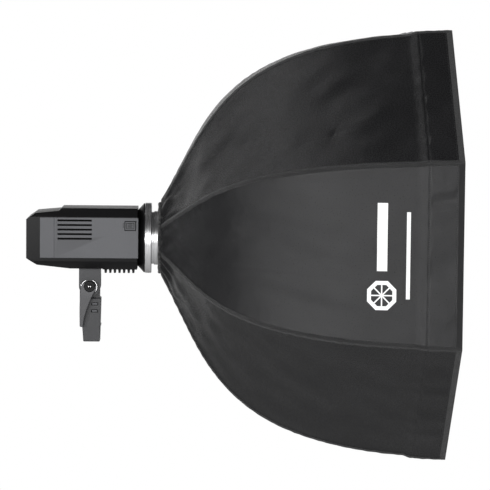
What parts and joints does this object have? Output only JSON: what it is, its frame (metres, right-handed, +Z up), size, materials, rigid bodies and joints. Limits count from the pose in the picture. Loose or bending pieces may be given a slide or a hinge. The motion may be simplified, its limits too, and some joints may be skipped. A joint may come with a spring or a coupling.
{
  "type": "octagonal umbrella softbox with monolight head",
  "caption": "Black octagonal folding softbox on curved ribs, locked by a silver ring to a box-shaped flash head with a tilt bracket for a stand.",
  "frame": {"origin": "centre of the mouth of the stand socket, on the bracket's bottom face", "axes": "+X along the light's axis towards the open front of the softbox, +Z up"},
  "size_m": [0.7332, 0.7418, 0.7418],
  "materials": {
    "black_nylon": "smooth coated nylon, satin sheen",
    "white_cloth": "translucent white cloth, matt",
    "ceramic_white": "matt",
    "black_plastic": "fine texture, matt",
    "grey_plastic": "fine texture, satin",
    "dark_plastic": "satin",
    "silver_ring": "turned, satin",
    "steel": "satin",
    "fibreglass": "smooth rod",
    "lamp_glass": "frosted",
    "screen": "gloss"
  },
  "bodies": {
    "bracket": {"tilt_bracket": "dark_plastic", "tilt_bolt": "black_plastic"},
    "head": {"head_shell": "black_plastic", "head_fork": "dark_plastic", "front_ring": "silver_ring", "tube_socket": "ceramic_white", "modelling_lamp": "lamp_glass", "flash_tube": "lamp_glass", "side_panel_near": "grey_plastic", "side_panel_far": "grey_plastic", "rear_panel": "dark_plastic", "display_window": "screen", "toothed_rail": "black_plastic"},
    "core": {"speed_ring": "silver_ring", "rib_hub": "black_plastic", "shaft_bridge": "black_plastic", "umbrella_shaft": "steel", "front_diffuser": "white_cloth", "inner_baffle": "white_cloth", "rear_cuff": "black_nylon"},
    "lever": {"tilt_lever": "grey_plastic"},
    "knob": {"stand_knob": "black_plastic"},
    "runner": {"runner": "dark_plastic"},
    "dial": {"control_dial": "black_plastic"},
    "release": {"bayonet_release": "dark_plastic"},
    "key_1": {"key_1": "grey_plastic"},
    "key_2": {"key_2": "grey_plastic"},
    "key_3": {"key_3": "grey_plastic"},
    "rib_1": {"rib_1": "fibreglass"},
    "rib_2": {"rib_2": "fibreglass"},
    "rib_3": {"rib_3": "fibreglass"},
    "rib_4": {"rib_4": "fibreglass"},
    "rib_5": {"rib_5": "fibreglass"},
    "rib_6": {"rib_6": "fibreglass"},
    "rib_7": {"rib_7": "fibreglass"},
    "rib_8": {"rib_8": "fibreglass"},
    "stay_1": {"stay_1": "steel"},
    "stay_2": {"stay_2": "steel"},
    "stay_3": {"stay_3": "steel"},
    "stay_4": {"stay_4": "steel"},
    "stay_5": {"stay_5": "steel"},
    "stay_6": {"stay_6": "steel"},
    "stay_7": {"stay_7": "steel"},
    "stay_8": {"stay_8": "steel"},
    "panel_1a": {"panel_1a": "black_nylon"},
    "panel_1b": {"panel_1b": "black_nylon"},
    "panel_2a": {"panel_2a": "black_nylon"},
    "panel_2b": {"panel_2b": "black_nylon"},
    "panel_3a": {"panel_3a": "black_nylon"},
    "panel_3b": {"panel_3b": "black_nylon"},
    "panel_4a": {"panel_4a": "black_nylon"},
    "panel_4b": {"panel_4b": "black_nylon"},
    "panel_5a": {"panel_5a": "black_nylon"},
    "panel_5b": {"panel_5b": "black_nylon"},
    "panel_6a": {"panel_6a": "black_nylon"},
    "panel_6b": {"panel_6b": "black_nylon"},
    "panel_7a": {"panel_7a": "black_nylon"},
    "panel_7b": {"panel_7b": "black_nylon"},
    "panel_8a": {"panel_8a": "black_nylon"},
    "panel_8b": {"panel_8b": "black_nylon"}
  },
  "joints": [
    {"name": "tilt", "type": "hinge", "parent": "bracket", "child": "head", "pos_m": [-0.0036, 0, 0.0994], "axis": [0, 1, 0], "range_deg": [-90, 60]},
    {"name": "lever_turn", "type": "hinge", "parent": "bracket", "child": "lever", "pos_m": [-0.0036, 0, 0.0994], "axis": [0, 1, 0], "range_deg": [-45, 0]},
    {"name": "knob_turn", "type": "hinge", "parent": "bracket", "child": "knob", "pos_m": [0, 0.018, 0.026], "axis": [0, 1, 0], "continuous": true},
    {"name": "dial_turn", "type": "hinge", "parent": "head", "child": "dial", "pos_m": [-0.1068, 0, 0.181], "axis": [1, 0, 0], "continuous": true},
    {"name": "release_slide", "type": "slide", "parent": "head", "child": "release", "axis": [-1, 0, 0], "range_m": [0, 0.006], "stiffness_N_per_m": 200, "springref_m": -0.002},
    {"name": "bayonet_turn", "type": "hinge", "parent": "head", "child": "core", "pos_m": [0.1188, 0, 0.185], "axis": [1, 0, 0], "range_deg": [0, 30]},
    {"name": "key_1_press", "type": "slide", "parent": "head", "child": "key_1", "axis": [1, 0, 0], "range_m": [0, 0.0015], "stiffness_N_per_m": 300, "springref_m": -0.0003},
    {"name": "key_2_press", "type": "slide", "parent": "head", "child": "key_2", "axis": [1, 0, 0], "range_m": [0, 0.0015], "stiffness_N_per_m": 300, "springref_m": -0.0003},
    {"name": "key_3_press", "type": "slide", "parent": "head", "child": "key_3", "axis": [1, 0, 0], "range_m": [0, 0.0015], "stiffness_N_per_m": 300, "springref_m": -0.0003},
    {"name": "rib_1_fold", "type": "hinge", "parent": "core", "child": "rib_1", "pos_m": [0.13182, 0.02066, 0.23489], "axis": [0, 0.9239, -0.3827], "range_deg": [0, 35], "deforming": ["front_diffuser", "inner_baffle", "panel_1a", "panel_1b", "panel_2a", "panel_2b", "panel_3a", "panel_3b", "panel_4a", "panel_4b", "panel_5a", "panel_5b", "panel_6a", "panel_6b", "panel_7a", "panel_7b", "panel_8a", "panel_8b"]},
    {"name": "rib_2_fold", "type": "hinge", "parent": "core", "child": "rib_2", "pos_m": [0.13182, 0.04989, 0.20566], "axis": [0, 0.3827, -0.9239], "range_deg": [0, 35]},
    {"name": "rib_3_fold", "type": "hinge", "parent": "core", "child": "rib_3", "pos_m": [0.13182, 0.04989, 0.16434], "axis": [0, -0.3827, -0.9239], "range_deg": [0, 35]},
    {"name": "rib_4_fold", "type": "hinge", "parent": "core", "child": "rib_4", "pos_m": [0.13182, 0.02066, 0.13511], "axis": [0, -0.9239, -0.3827], "range_deg": [0, 35]},
    {"name": "rib_5_fold", "type": "hinge", "parent": "core", "child": "rib_5", "pos_m": [0.13182, -0.02066, 0.13511], "axis": [0, -0.9239, 0.3827], "range_deg": [0, 35]},
    {"name": "rib_6_fold", "type": "hinge", "parent": "core", "child": "rib_6", "pos_m": [0.13182, -0.04989, 0.16434], "axis": [0, -0.3827, 0.9239], "range_deg": [0, 35]},
    {"name": "rib_7_fold", "type": "hinge", "parent": "core", "child": "rib_7", "pos_m": [0.13182, -0.04989, 0.20566], "axis": [0, 0.3827, 0.9239], "range_deg": [0, 35]},
    {"name": "rib_8_fold", "type": "hinge", "parent": "core", "child": "rib_8", "pos_m": [0.13182, -0.02066, 0.23489], "axis": [0, 0.9239, 0.3827], "range_deg": [0, 35]},
    {"name": "runner_slide", "type": "slide", "parent": "core", "child": "runner", "axis": [1, 0, 0], "range_m": [0, 0.0838]},
    {"name": "stay_1_swing", "type": "hinge", "parent": "rib_1", "child": "stay_1", "pos_m": [0.16948, 0.05116, 0.30851], "axis": [0, -0.9239, 0.3827], "range_deg": [0, 61.41]},
    {"name": "stay_2_swing", "type": "hinge", "parent": "rib_2", "child": "stay_2", "pos_m": [0.16948, 0.12351, 0.23616], "axis": [0, -0.3827, 0.9239], "range_deg": [0, 61.41]},
    {"name": "stay_3_swing", "type": "hinge", "parent": "rib_3", "child": "stay_3", "pos_m": [0.16948, 0.12351, 0.13384], "axis": [0, 0.3827, 0.9239], "range_deg": [0, 61.41]},
    {"name": "stay_4_swing", "type": "hinge", "parent": "rib_4", "child": "stay_4", "pos_m": [0.16948, 0.05116, 0.06149], "axis": [0, 0.9239, 0.3827], "range_deg": [0, 61.41]},
    {"name": "stay_5_swing", "type": "hinge", "parent": "rib_5", "child": "stay_5", "pos_m": [0.16948, -0.05116, 0.06149], "axis": [0, 0.9239, -0.3827], "range_deg": [0, 61.41]},
    {"name": "stay_6_swing", "type": "hinge", "parent": "rib_6", "child": "stay_6", "pos_m": [0.16948, -0.12351, 0.13384], "axis": [0, 0.3827, -0.9239], "range_deg": [0, 61.41]},
    {"name": "stay_7_swing", "type": "hinge", "parent": "rib_7", "child": "stay_7", "pos_m": [0.16948, -0.12351, 0.23616], "axis": [0, -0.3827, -0.9239], "range_deg": [0, 61.41]},
    {"name": "stay_8_swing", "type": "hinge", "parent": "rib_8", "child": "stay_8", "pos_m": [0.16948, -0.05116, 0.30851], "axis": [0, -0.9239, -0.3827], "range_deg": [0, 61.41]},
    {"name": "panel_1a_pleat", "type": "hinge", "parent": "rib_1", "child": "panel_1a", "pos_m": [0.0845, 0.06314, 0.33744], "axis": [-0.1177, -0.7575, 0.6421], "range_deg": [0, 20]},
    {"name": "panel_1b_pleat", "type": "hinge", "parent": "rib_1", "child": "panel_1b", "pos_m": [0.0845, 0.06314, 0.33744], "axis": [0.1177, -0.9897, 0.0816], "range_deg": [0, 20]},
    {"name": "panel_2a_pleat", "type": "hinge", "parent": "rib_2", "child": "panel_2a", "pos_m": [0.0845, 0.15244, 0.24814], "axis": [-0.1177, -0.0816, 0.9897], "range_deg": [0, 20]},
    {"name": "panel_2b_pleat", "type": "hinge", "parent": "rib_2", "child": "panel_2b", "pos_m": [0.0845, 0.15244, 0.24814], "axis": [0.1177, -0.6421, 0.7575], "range_deg": [0, 20]},
    {"name": "panel_3a_pleat", "type": "hinge", "parent": "rib_3", "child": "panel_3a", "pos_m": [0.0845, 0.15244, 0.12186], "axis": [-0.1177, 0.6421, 0.7575], "range_deg": [0, 20]},
    {"name": "panel_3b_pleat", "type": "hinge", "parent": "rib_3", "child": "panel_3b", "pos_m": [0.0845, 0.15244, 0.12186], "axis": [0.1177, 0.0816, 0.9897], "range_deg": [0, 20]},
    {"name": "panel_4a_pleat", "type": "hinge", "parent": "rib_4", "child": "panel_4a", "pos_m": [0.0845, 0.06314, 0.03256], "axis": [-0.1177, 0.9897, 0.0816], "range_deg": [0, 20]},
    {"name": "panel_4b_pleat", "type": "hinge", "parent": "rib_4", "child": "panel_4b", "pos_m": [0.0845, 0.06314, 0.03256], "axis": [0.1177, 0.7575, 0.6421], "range_deg": [0, 20]},
    {"name": "panel_5a_pleat", "type": "hinge", "parent": "rib_5", "child": "panel_5a", "pos_m": [0.0845, -0.06314, 0.03256], "axis": [-0.1177, 0.7575, -0.6421], "range_deg": [0, 20]},
    {"name": "panel_5b_pleat", "type": "hinge", "parent": "rib_5", "child": "panel_5b", "pos_m": [0.0845, -0.06314, 0.03256], "axis": [0.1177, 0.9897, -0.0816], "range_deg": [0, 20]},
    {"name": "panel_6a_pleat", "type": "hinge", "parent": "rib_6", "child": "panel_6a", "pos_m": [0.0845, -0.15244, 0.12186], "axis": [-0.1177, 0.0816, -0.9897], "range_deg": [0, 20]},
    {"name": "panel_6b_pleat", "type": "hinge", "parent": "rib_6", "child": "panel_6b", "pos_m": [0.0845, -0.15244, 0.12186], "axis": [0.1177, 0.6421, -0.7575], "range_deg": [0, 20]},
    {"name": "panel_7a_pleat", "type": "hinge", "parent": "rib_7", "child": "panel_7a", "pos_m": [0.0845, -0.15244, 0.24814], "axis": [-0.1177, -0.6421, -0.7575], "range_deg": [0, 20]},
    {"name": "panel_7b_pleat", "type": "hinge", "parent": "rib_7", "child": "panel_7b", "pos_m": [0.0845, -0.15244, 0.24814], "axis": [0.1177, -0.0816, -0.9897], "range_deg": [0, 20]},
    {"name": "panel_8a_pleat", "type": "hinge", "parent": "rib_8", "child": "panel_8a", "pos_m": [0.0845, -0.06314, 0.33744], "axis": [-0.1177, -0.9897, -0.0816], "range_deg": [0, 20]},
    {"name": "panel_8b_pleat", "type": "hinge", "parent": "rib_8", "child": "panel_8b", "pos_m": [0.0845, -0.06314, 0.33744], "axis": [0.1177, -0.7575, -0.6421], "range_deg": [0, 20]}
  ],
  "couplings": [
    {"joint": "rib_2_fold", "follows": "rib_1_fold", "ratio": 1},
    {"joint": "rib_3_fold", "follows": "rib_1_fold", "ratio": 1},
    {"joint": "rib_4_fold", "follows": "rib_1_fold", "ratio": 1},
    {"joint": "rib_5_fold", "follows": "rib_1_fold", "ratio": 1},
    {"joint": "rib_6_fold", "follows": "rib_1_fold", "ratio": 1},
    {"joint": "rib_7_fold", "follows": "rib_1_fold", "ratio": 1},
    {"joint": "rib_8_fold", "follows": "rib_1_fold", "ratio": 1},
    {"joint": "runner_slide", "follows": "rib_1_fold", "m_per_rad": 0.13716},
    {"joint": "stay_1_swing", "follows": "rib_1_fold", "ratio": 1.7544},
    {"joint": "stay_2_swing", "follows": "rib_1_fold", "ratio": 1.7544},
    {"joint": "stay_3_swing", "follows": "rib_1_fold", "ratio": 1.7544},
    {"joint": "stay_4_swing", "follows": "rib_1_fold", "ratio": 1.7544},
    {"joint": "stay_5_swing", "follows": "rib_1_fold", "ratio": 1.7544},
    {"joint": "stay_6_swing", "follows": "rib_1_fold", "ratio": 1.7544},
    {"joint": "stay_7_swing", "follows": "rib_1_fold", "ratio": 1.7544},
    {"joint": "stay_8_swing", "follows": "rib_1_fold", "ratio": 1.7544},
    {"joint": "panel_1a_pleat", "follows": "rib_1_fold", "ratio": 0.57143},
    {"joint": "panel_1b_pleat", "follows": "rib_1_fold", "ratio": 0.57143},
    {"joint": "panel_2a_pleat", "follows": "rib_1_fold", "ratio": 0.57143},
    {"joint": "panel_2b_pleat", "follows": "rib_1_fold", "ratio": 0.57143},
    {"joint": "panel_3a_pleat", "follows": "rib_1_fold", "ratio": 0.57143},
    {"joint": "panel_3b_pleat", "follows": "rib_1_fold", "ratio": 0.57143},
    {"joint": "panel_4a_pleat", "follows": "rib_1_fold", "ratio": 0.57143},
    {"joint": "panel_4b_pleat", "follows": "rib_1_fold", "ratio": 0.57143},
    {"joint": "panel_5a_pleat", "follows": "rib_1_fold", "ratio": 0.57143},
    {"joint": "panel_5b_pleat", "follows": "rib_1_fold", "ratio": 0.57143},
    {"joint": "panel_6a_pleat", "follows": "rib_1_fold", "ratio": 0.57143},
    {"joint": "panel_6b_pleat", "follows": "rib_1_fold", "ratio": 0.57143},
    {"joint": "panel_7a_pleat", "follows": "rib_1_fold", "ratio": 0.57143},
    {"joint": "panel_7b_pleat", "follows": "rib_1_fold", "ratio": 0.57143},
    {"joint": "panel_8a_pleat", "follows": "rib_1_fold", "ratio": 0.57143},
    {"joint": "panel_8b_pleat", "follows": "rib_1_fold", "ratio": 0.57143}
  ]
}
